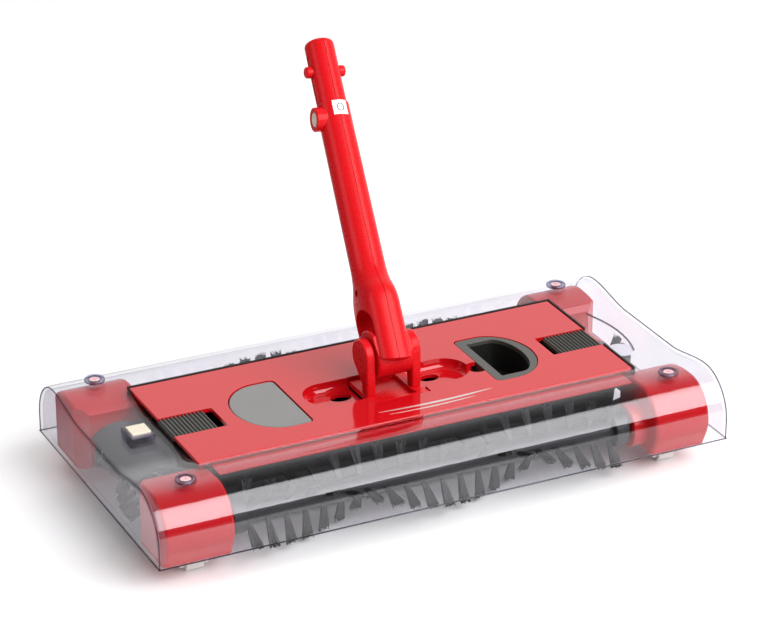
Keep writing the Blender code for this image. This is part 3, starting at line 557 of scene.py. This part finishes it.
def make_panel():
    panel = soften(box("panel_skin", (-PANEL_X + 0.3, -PANEL_Y + 0.2, PANEL_TOP - 2.2),
                       (PANEL_X - 0.3, PANEL_Y - 0.3, PANEL_TOP)), 0.7, 3)
    join(panel, prism("well", racetrack(14.8, 48.3), "Z", 41.0, PANEL_TOP - 1))
    cut(panel, soften(prism("recess", racetrack(13.1), "Z", 42.8, 60), 3.4, 6))
    cut(panel, box("yoke_hole", (-16.1, -24.6, 30), (16.1, 8.6, 60)),
        prism("pack_hole", d_outline(0.4, 1), "Z", 30, 60),
        prism("pedal_hole", d_outline(0.4, -1), "Z", 30, 60),
        rod("scoop", "Z", (D_X - 2.6, -10), 44, 60, 6.0, 48))
    for side in (-1, 1):
        x0, x1 = sorted((side * 93.5, side * (PANEL_X + 1)))
        cut(panel, box("latch_hole", (x0, LATCH_Y0 - 0.4, 30), (x1, LATCH_Y1 + 0.4, 60)))
    for x, y, rx, ry in ((27.0, -0.5, 5.4, 3.6), (-24.5, -1.5, 6.0, 4.0)):
        cut(panel, prism("drain", [(x + rx * math.cos(a), y + ry * math.sin(a)) for a in
                                   (math.radians(15 * i) for i in range(24))], "Z", 30, 45))
    dress(panel, RED_GLOSS, "head", "red_gloss", "top_panel")
    seal = box("panel_gasket", (-PANEL_X - 0.2, -PANEL_Y - 0.2, 44.6), (PANEL_X + 0.9, PANEL_Y + 0.9, 48.9))
    cut(seal, box("gap", (-PANEL_X - 0.05, -PANEL_Y - 0.05, 40), (PANEL_X - 0.15, PANEL_Y - 0.15, 60)),
        box("front", (-PANEL_X - 2, -PANEL_Y - 2, 40), (PANEL_X - 1, PANEL_Y - 6, 60)),
        box("latch", (PANEL_X - 5, LATCH_Y0 - 0.4, 30), (PANEL_X + 5, LATCH_Y1 + 0.4, 60)))
    dress(seal, RUBBER, "head", "rubber_belt")
    flange = box("panel_flange", (-116.5, -57.5, 45.75), (116.5, -PANEL_Y, 46.2))
    dress(flange, RED_CASE, "head", "red_gloss")
    make_stripes()


STRIPES = ((-19, 46, -35.4, 1.6, 1.5), (-15, 34, -39.6, 1.0, 0.9))   # x0, x1, y, rise, thickness


def make_stripes():
    """Two plain swept pinstripes on the front of the panel, with no lettering."""
    for number, (x0, x1, y, rise, thick) in enumerate(STRIPES, 1):
        upper, lower = [], []
        for i in range(33):
            t = i / 32
            x = x0 + (x1 - x0) * t
            bend = y - rise * math.sin(math.pi * t)
            half = 0.5 * thick * math.sin(math.pi * t) ** 0.7 + 0.06
            upper.append((x, bend + half))
            lower.append((x, bend - half))
        outline = lower + upper[::-1]
        low, high = PANEL_TOP - 0.1, PANEL_TOP + 0.05
        stripe = prism("panel_stripe_%d" % number, outline, "Z", low, high)
        dress(stripe, FOIL, "head", "silver_plastic")


# ---- gearboxes, wheels, brush guard -------------------------------------------------
def gearbox_outline(sy):
    body = [(39.0, 12.5), (41.5, 9.5), (74.0, 9.5)] + arc(BRUSH_Y, 25.4, 20.2, -20, 90, 26)
    body = body + [(51.0, 45.2), (42.0, 43.6), (39.0, 41.0)]
    return body if sy > 0 else [(-y, z) for y, z in reversed(body)]


def make_gearbox(sx, sy):
    words = ("rear" if sy > 0 else "front") + ("_right" if sx > 0 else "_left")
    outer, inner = (151.5, 119.5) if sx > 0 else (154.5, 117.4)
    x0, x1 = sorted((sx * outer, sx * inner))
    case = soften(prism("gearbox_shell_" + words, gearbox_outline(sy), "X", x0, x1), 2.2, 3, 60)
    lo, hi = sorted((sx * (inner + 1), sx * (inner - (8 if sx > 0 else 1.5))))
    parts = [soften(rod("neck", "X", (sy * BRUSH_Y, BRUSH_Z), lo, hi, 11.5), 0.8)]
    if sx > 0 and sy > 0:
        parts.append(soften(rod("neck", "Y", (sx * BRUSH_X, BRUSH_Z), 20, 41, 9.5), 0.8))
    plan = [(inner - 40, 30), (outer - 7.5, 30), (outer - 7.5, 38.5), (outer + 0.5, 46.5)]
    plan += [(outer + 0.5, 70.0), (outer - 9.0, 85.0)] if sy > 0 else [(outer + 0.5, 85.0)]
    plan += [(inner - 40, 85.0)]
    trim = prism("plan", [(sx * x, sy * y) for x, y in plan], "Z", 0, 60)
    boolean(case, [trim], "INTERSECT")
    toe = [(sx * x, z) for x, z in ((outer + 1, 21), (outer + 1, 5), (outer - 9, 5))]
    cut(case, prism("toe", toe, "Y", -90, 90))
    soften(case, 0.8, 2, 30)
    join(case, *parts)
    y0, y1 = sorted((sy * 45.8, sy * 73.4))
    cut(case, box("room", (x0 + 2.6, y0, 12.2), (x1 - 2.6, y1, 38.0)),
        rod("hole_x", "X", (sy * BRUSH_Y, BRUSH_Z), min(0, sx * BRUSH_X), max(0, sx * BRUSH_X), 3.4, 40),
        rod("hole_y", "Y", (sx * BRUSH_X, BRUSH_Z), min(0, sy * BRUSH_Y), max(0, sy * BRUSH_Y), 3.4, 40))
    dress(case, RED_CASE, "head", "red_gloss", "gearbox_" + words)


def make_wheel(number, sx, sy):
    x, y = sx * WHEEL_X, sy * WHEEL_Y
    at = (y, WHEEL_R)
    wheel = soften(rod("roller_%d_tyre" % number, "X", at, x - 4.8, x + 4.8, WHEEL_R, 48), 0.7)
    cut(wheel, rod("bore", "X", at, x - 9, x + 9, 1.4, 24))
    dress(wheel, WHITE, "roller_%d" % number, "white_plastic", "wheel_%d" % number)
    for word, mid in (("inner", x - 6.6 * sx), ("outer", x + 6.6 * sx)):
        name = "wheel_%d_bracket_%s" % (number, word)
        cheek = box(name, (mid - 1.1, y - 2.6, 3.0), (mid + 1.1, y + 2.6, 10.5))
        dress(soften(cheek, 0.4, 2), WHITE, "head", "white_plastic")


def make_guard():
    sector = arc(-BRUSH_X, BRUSH_Z, 20.2, 42, 138, 40) + arc(-BRUSH_X, BRUSH_Z, 19.0, 138, 42, 40)
    guard = soften(prism("brush_guard_shield", sector, "Y", -33.5, 24.0), 0.4, 2)
    dress(guard, BLACK, "head", "black_plastic", "brush_guard")


# ---- brushes ------------------------------------------------------------------------
def tuft(bm, root, outward, along, length, width, rng):
    """A fan of bristles: a dense flat middle that flares, and loose strands round it."""
    side = outward.cross(along)
    blades = 7
    for k in range(blades):
        share = (k + 0.5) / blades - 0.5
        reach = length * rng.uniform(0.84, 0.97)
        half = width / blades * 0.56
        foot = root + along * share * width * 0.32
        tip = root + along * share * width + outward * reach + side * rng.uniform(-0.5, 0.5)
        loops = []
        for centre, u, v in ((foot, half * 0.34, 0.75), ((foot * 0.45 + tip * 0.55), half * 0.72, 0.95),
                             (tip, half, 0.8)):
            loops.append([bm.verts.new(centre + along * (u * i) + side * (v * j))
                          for i, j in ((-1, -1), (1, -1), (1, 1), (-1, 1))])
        skin(bm, loops)
    for k in range(16):
        share = rng.uniform(-0.56, 0.56)
        deep = rng.uniform(-1.0, 1.0)
        foot = root + along * share * width * 0.3 + side * deep * 0.6
        tip = root + along * share * width * 1.08 + side * deep * 1.5
        tip = tip + outward * length * rng.uniform(0.93, 1.0)
        middle = foot * 0.5 + tip * 0.5 - along * share * 0.5
        skin(bm, [[bm.verts.new(centre + (along * math.cos(a) + side * math.sin(a)) * r)
                   for a in (0.0, 2.1, 4.2)] for centre, r in ((foot, 0.2), (middle, 0.2), (tip, 0.13))])


def make_brush(name, node, body, axis, centre, lo, hi, tip, shaft, rows, hand, start, seed):
    """Bristle tufts in rows that wind slowly along a core, with a hub at each end."""
    rng = random.Random(seed)
    bm = bmesh.new()
    step = Vector((1, 0, 0)) if axis == "X" else Vector((0, 1, 0))
    u = Vector((0, 1, 0)) if axis == "X" else Vector((1, 0, 0))
    w = Vector((0, 0, 1))
    base = Vector((0, *centre)) if axis == "X" else Vector((centre[0], 0, centre[1]))
    pitch = 10.7
    count = int((hi - lo - 8) / pitch)
    for row in range(rows):
        for k in range(count):
            along = lo + 4 + (hi - lo - 8) * (k + 0.5) / count
            angle = start + hand * 2 * math.pi * (along - lo) / 290 + row * 2 * math.pi / rows
            out = u * math.cos(angle) + w * math.sin(angle)
            tuft(bm, base + step * along + out * 4.8, out, step, tip - 5.2, 5.6, rng)
    dress(place(bm, name + "_bristles"), BRISTLE, body, "bristle", node)
    core = soften(rod(name + "_core", axis, centre, lo, hi, 5.6, 48), 0.5)
    hubs = [soften(rod("hub", axis, centre, end - 3.8, end + 3.8, hub, 48), 0.6)
            for end, hub in ((lo + 3.8, 9.6), (hi - 3.8, 9.6))]
    join(core, rod("shaft", axis, centre, shaft[0], shaft[1], 2.9, 32), *hubs)
    dress(core, CORE, body, "bristle")


# ---- power and latches --------------------------------------------------------------
def make_pack():
    pack = prism("battery_grip", d_outline(0, 1), "Z", GRIP_LO, PANEL_TOP - 0.2)
    cut(pack, prism("grip_room", d_outline(-GRIP_WALL, 1), "Z", 31.0, 60))
    soften(pack, 0.8, 3)
    dress(pack, DARK, "pack", "dark_plastic", "battery_pack")
    # Painted shade: a near-black lining over the inner wall and floor of the grip stands in for the shade
    # in its recess.
    wall = prism("battery_grip_shade_lining", d_outline(-5.15, 1), "Z", 31.2, 46.2)
    cut(wall, prism("wall_room", d_outline(-5.7, 1), "Z", 30, 60))
    dress(wall, DEEP, "pack", "dark_plastic")
    floor = prism("battery_grip_shade_floor", d_outline(-5.8, 1), "Z", 31.05, 31.6)
    dress(floor, DEEP, "pack", "dark_plastic")
    for number, y in enumerate((-14.0, 5.0), 1):
        slope = [(58.4, 31.2), (68.5, 31.2), (58.4, 44.0)]
        rib = prism("battery_rib_%d" % number, slope, "Y", y - 1.0, y + 1.0)
        dress(soften(rib, 0.25, 2), DARK, "pack", "dark_plastic")


def make_pedal():
    pedal = prism("power_pedal_cap", d_outline(0, -1), "Z", PANEL_TOP - 3.6, PANEL_TOP - 0.2)
    soften(pedal, 0.9, 3)
    join(pedal, rod("stem", "Z", (-69, -2), 40.6, PANEL_TOP - 2, 3.0, 32))
    dress(pedal, SILVER, "pedal", "silver_plastic", "power_pedal")


def make_latch(side, word):
    step = (LATCH_X1 - LATCH_X0) / LATCH_RIBS
    outline = [(LATCH_X1, PANEL_TOP - 3.4), (LATCH_X1, PANEL_TOP - 1.3)]
    for k in reversed(range(LATCH_RIBS)):
        mid = LATCH_X0 + (k + 0.5) * step
        outline += [(mid + 0.30 * step * math.cos(a), PANEL_TOP - 1.1 + 1.0 * math.sin(a))
                    for a in (math.radians(22.5 * i) for i in range(9))]
    outline += [(LATCH_X0, PANEL_TOP - 1.3), (LATCH_X0, PANEL_TOP - 3.4)]
    outline = [(side * x, z) for x, z in outline]
    latch = soften(prism("latch_slider_" + word, outline, "Y", LATCH_Y0, LATCH_Y1), 0.2, 2, 60)
    x0, x1 = sorted((side * LEG_X0, side * LEG_X1))
    join(latch, box("leg", (x0, -8.4, 27.0), (x1, 0.4, PANEL_TOP - 3)))
    dress(latch, DARK, word + "_latch", "dark_plastic", "latch_" + word)


# ---- swivel joint and handle --------------------------------------------------------
def make_yoke():
    py, pz = PIVOT.y, PIVOT.z
    ear = [(py - EAR_R, 46.5), (py - 2.6, 46.5), (py - 2.6, pz - 14.6)]
    ear = ear + arc(py, pz, EAR_R, -58, 180, 48)
    base = [(py - 19.0, 43.6), (py + 12.6, 43.6), (py + 12.6, 46.6), (py - 10, 46.9), (py - 19.0, 48.4)]
    yoke = soften(prism("yoke_bracket", base, "X", -EAR_OUT, EAR_OUT), 0.5, 2)
    ears = []
    for side in (-1, 1):
        x0, x1 = sorted((side * EAR_IN, side * EAR_OUT))
        ears.append(soften(prism("ear", ear, "X", x0, x1), 1.2, 3, 60))
    join(yoke, *ears)
    cut(yoke, rod("bore", "X", (py, pz), -14.4, 14.4, 3.1, 40),
        box("well", (-9.4, py - 16.8, 44.4), (9.4, py + 9.5, 60)))
    dress(yoke, RED_SATIN, "head", "red_satin", "yoke")
    for side, word in ((-1, "left"), (1, "right")):
        x0, x1 = sorted((side * 4.6, side * 14.2))
        pin = soften(rod("joint_pin_" + word, "X", (py, pz), x0, x1, 2.8, 40), 0.3)
        dress(pin, STEEL, "head", "steel", "pitch_pin_" + word)
    pin = soften(rod("fork_pin_steel", "Y", (0, 0), -14.6, 14.6, 2.6, 40, HANDLE), 0.3)
    dress(pin, STEEL, "handle", "steel", "fork_pin")


def make_knuckle():
    drum = soften(rod("knuckle_drum", "X", (0, 0), -EAR_IN + 0.4, EAR_IN - 0.4, 12.5, 96, KNUCKLE), 1.2, 3)
    tools = []
    for side in (-1, 1):
        y0, y1 = sorted((side * 11.2, side * 20))
        tools.append(box("flat", (-20, y0, -20), (20, y1, 20), KNUCKLE))
        x0, x1 = sorted((side * 4.2, side * 20))
        tools.append(rod("bore", "X", (0, 0), x0, x1, 3.1, 40, KNUCKLE))
    cut(drum, *tools, rod("fork_bore", "Y", (0, 0), -20, 20, 2.9, 40, KNUCKLE))
    dress(drum, RED_SATIN, "knuckle_body", "red_satin", "knuckle")


HANDLE_RINGS = ((-11.0, 10.5, 15.8, 2.7), (24.0, 10.5, 15.8, 2.7), (28.5, 10.3, 15.5, 2.6),
                (32.0, 10.0, 14.5, 2.5), (35.0, 9.8, 12.6, 2.3), (38.5, 9.6, 10.9, 2.1),
                (43.0, 9.4, 9.7, 2.0), (50.0, 9.3, 9.3, 2.0), (139.6, 8.8, 8.8, 2.0),
                (140.0, 8.55, 8.55, 2.0), (140.2, 8.0, 8.0, 2.0), (HANDLE_L - 2.4, 8.0, 8.0, 2.0),
                (HANDLE_L - 1.4, 7.85, 7.85, 2.0), (HANDLE_L - 0.6, 7.45, 7.45, 2.0),
                (HANDLE_L, 6.7, 6.7, 2.0))


def handle_section(z):
    """Half width, half depth and squareness of the handle at height z, straight between rings."""
    for a, b in zip(HANDLE_RINGS, HANDLE_RINGS[1:]):
        if a[0] <= z <= b[0]:
            t = (z - a[0]) / (b[0] - a[0])
            return [a[i] + (b[i] - a[i]) * t for i in (1, 2, 3)]
    return HANDLE_RINGS[-1][1:]


def handle_heights():
    heights = [-11.0, 0.0, 10.0, 18.0] + [20.0 + 1.2 * i for i in range(26)]
    heights += [60, 80, 100, 120] + [ring[0] for ring in HANDLE_RINGS if ring[0] > 130]
    return heights


def eased_section(z):
    """The section averaged over a short stretch, which rounds the shoulders."""
    if z > 56 or z < 14:
        return handle_section(z)
    samples = [handle_section(z + d) for d in (-1.6, -0.8, 0, 0.8, 1.6)]
    return [sum(s[i] for s in samples) / len(samples) for i in range(3)]


def half_ring(side, sx, sy, power, z, count=44):
    ring = []
    for i in range(count + 1):
        a = math.pi * (i / count - 0.5)
        c, s = max(0.0, math.cos(a)), math.sin(a)
        ring.append((side * max(SEAM, c ** (2 / power) * sx),
                     math.copysign(abs(s) ** (2 / power), s) * sy, z))
    return ring


def tine_trim():
    """A slab with the rounded outline of the tines left out of it."""
    end = []
    for a in (math.radians(180 + 4.5 * i) for i in range(1, 40)):
        across = math.copysign(abs(math.cos(a)) ** 0.7, math.cos(a))
        end.append((across * TINE_W, -TINE_END * abs(math.sin(a)) ** 0.7))
    end = [(-TINE_W, 20.0), (-TINE_W, 0.0)] + end + [(TINE_W, 0.0), (TINE_W, 20.0)]
    return [(-20, -30), (20, -30), (20, 20)] + end[::-1] + [(-20, 20)]


def throat_arch():
    arch = [(THROAT_R * math.cos(a), THROAT_MID + THROAT_RISE * math.sin(a))
            for a in (math.radians(6 * i) for i in range(31))]
    return [(THROAT_R, -20)] + arch + [(-THROAT_R, -20)]


def tongue_slot():
    slot = []
    for a in (math.radians(15 * i + 7) for i in range(24)):
        middle = BUTTON_H - 5 + (12 if math.sin(a) > 0 else -12)
        slot.append((2.4 * math.cos(a), middle + 2.4 * math.sin(a)))
    return slot


def make_handle_half(side, word):
    """One of the two mouldings of the handle; the left one has the magnet's boss."""
    rings = [half_ring(side, *eased_section(z), z) for z in handle_heights()]
    half = loft("handle_%s_moulding" % word, rings, HANDLE)
    if side < 0:
        join(half, soften(rod("boss", "X", (0, MAGNET_H), -12.0, -5.0, 6.5, 64, HANDLE), 0.5))
    cut(half, prism("trim", tine_trim(), "Y", -30, 30, HANDLE))
    cut(half, prism("throat", throat_arch(), "X", -30, 30, HANDLE))
    cut(half, rod("bore", "Z", (0, 0), 46, HANDLE_L + 10, 6.3, 48, HANDLE))
    cut(half, rod("pin_bore", "Y", (0, 0), -14.8, 14.8, 2.9, 32, HANDLE),
        rod("button_hole", "X", (0, BUTTON_H), min(0, side * 30), max(0, side * 30), 3.4, 40, HANDLE))
    if side < 0:
        cut(half, rod("pocket", "X", (0, MAGNET_H), -20.0, -9.4, 4.2, 40, HANDLE))
        cut(half, prism("tongue_slot", tongue_slot(), "X", -20, -7.3, HANDLE))
        cut(half, rod("screw_hole", "X", (-1.0, 32.5), -30, -7.0, 2.0, 32, HANDLE))
    soften(half, 0.9, 4, 60)
    dress(half, RED_SATIN, "handle", "red_satin", "handle_shell_" + word, sharp=28)


def make_button(side, word):
    x0, x1 = sorted((side * 4.6, side * 11.2))
    button = soften(rod("button_" + word, "X", (0, BUTTON_H), x0, x1, 3.15, 48, HANDLE), 1.3, 5)
    dress(button, RED_SATIN, word + "_button", "red_satin", "snap_button_" + word)


def patch(name, r, angles, heights, at):
    """A thin curved sheet on the handle tube, between two angles and two heights."""
    bm = bmesh.new()
    rows = []
    for z in heights:
        rows.append([[bm.verts.new((rr * math.cos(a), rr * math.sin(a), z)) for a in angles]
                     for rr in (r - 0.1, r)])
    n = len(angles)
    for i in range(n - 1):
        bm.faces.new((rows[0][1][i], rows[0][1][i + 1], rows[1][1][i + 1], rows[1][1][i]))
        bm.faces.new((rows[0][0][i], rows[1][0][i], rows[1][0][i + 1], rows[0][0][i + 1]))
        for k in (0, 1):
            bm.faces.new((rows[k][0][i], rows[k][0][i + 1], rows[k][1][i + 1], rows[k][1][i]))
    for i in (0, n - 1):
        bm.faces.new((rows[0][0][i], rows[0][1][i], rows[1][1][i], rows[1][0][i]))
    return place(bm, name, at)


def make_label():
    sweep = [math.radians(-111 + 3.0 * i) for i in range(19)]
    paper = patch("size_label", 8.98, sweep, (131.2, 139.4), HANDLE)
    dress(paper, PAPER, "handle", "white_plastic")
    loop = [(9.03, math.radians(-84 + 11.5 * math.cos(a)), 135.3 + 2.1 * math.sin(a))
            for a in (math.radians(12 * i) for i in range(30))]
    loop = [(r * math.cos(a), r * math.sin(a), z) for r, a, z in loop]
    dress(tube("label_ring", loop, 0.22, HANDLE, closed=True), INK, "handle", "black_plastic")


def make_magnet():
    disc = soften(rod("magnet_disc", "X", (0, MAGNET_H), -11.8, -9.7, 3.9, 48, HANDLE), 0.3, 2)
    dress(disc, KEEPER, "handle", "keeper", "handle_magnet")


def paint_nodes():
    """Materials of the model's own nodes that stay on show."""
    looks = {"chassis": BLACK, "dust_tray": DEEP, "microswitch": BLACK, "drive_belt": RUBBER}
    for name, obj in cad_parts.items():
        mat = looks.get(name)
        if mat is None:
            white = name.startswith("mitre") or name.endswith("pulley")
            mat = WHITE if white else STEEL
        obj.data.materials.clear()
        obj.data.materials.append(mat)


make_camera()
make_studio()
paint_nodes()
make_cover()
make_panel()
for number, (sx, sy) in enumerate(CORNERS, 1):
    make_gearbox(sx, sy)
    make_wheel(number, sx, sy)
make_guard()
make_brush("front_brush", "front_brush", "front_brush_body", "X", (-BRUSH_Y, BRUSH_Z),
           TUFT_LO, TUFT_HI, TUFT_TIP, LONG_SHAFT, 3, 1, 3.6, 3)
make_brush("rear_brush", "rear_brush", "rear_brush_body", "X", (BRUSH_Y, BRUSH_Z),
           TUFT_LO, TUFT_HI, TUFT_TIP, LONG_SHAFT, 3, -1, 0.6, 5)
make_brush("left_brush", "side_brush_left", "side_brush_left_body", "Y", (-BRUSH_X, BRUSH_Z),
           -37.5, 24.0, SIDE_TIP, SHORT_SHAFT, 4, 1, 0.2, 7)
make_brush("right_brush", "side_brush_right", "side_brush_right_body", "Y", (BRUSH_X, BRUSH_Z),
           -37.5, 18.5, SIDE_TIP, SHORT_SHAFT, 4, -1, 0.5, 9)
make_pack()
make_pedal()
for side, word in ((-1, "left"), (1, "right")):
    make_latch(side, word)
    make_handle_half(side, word)
    make_button(side, word)
make_yoke()
make_knuckle()
make_magnet()
make_label()
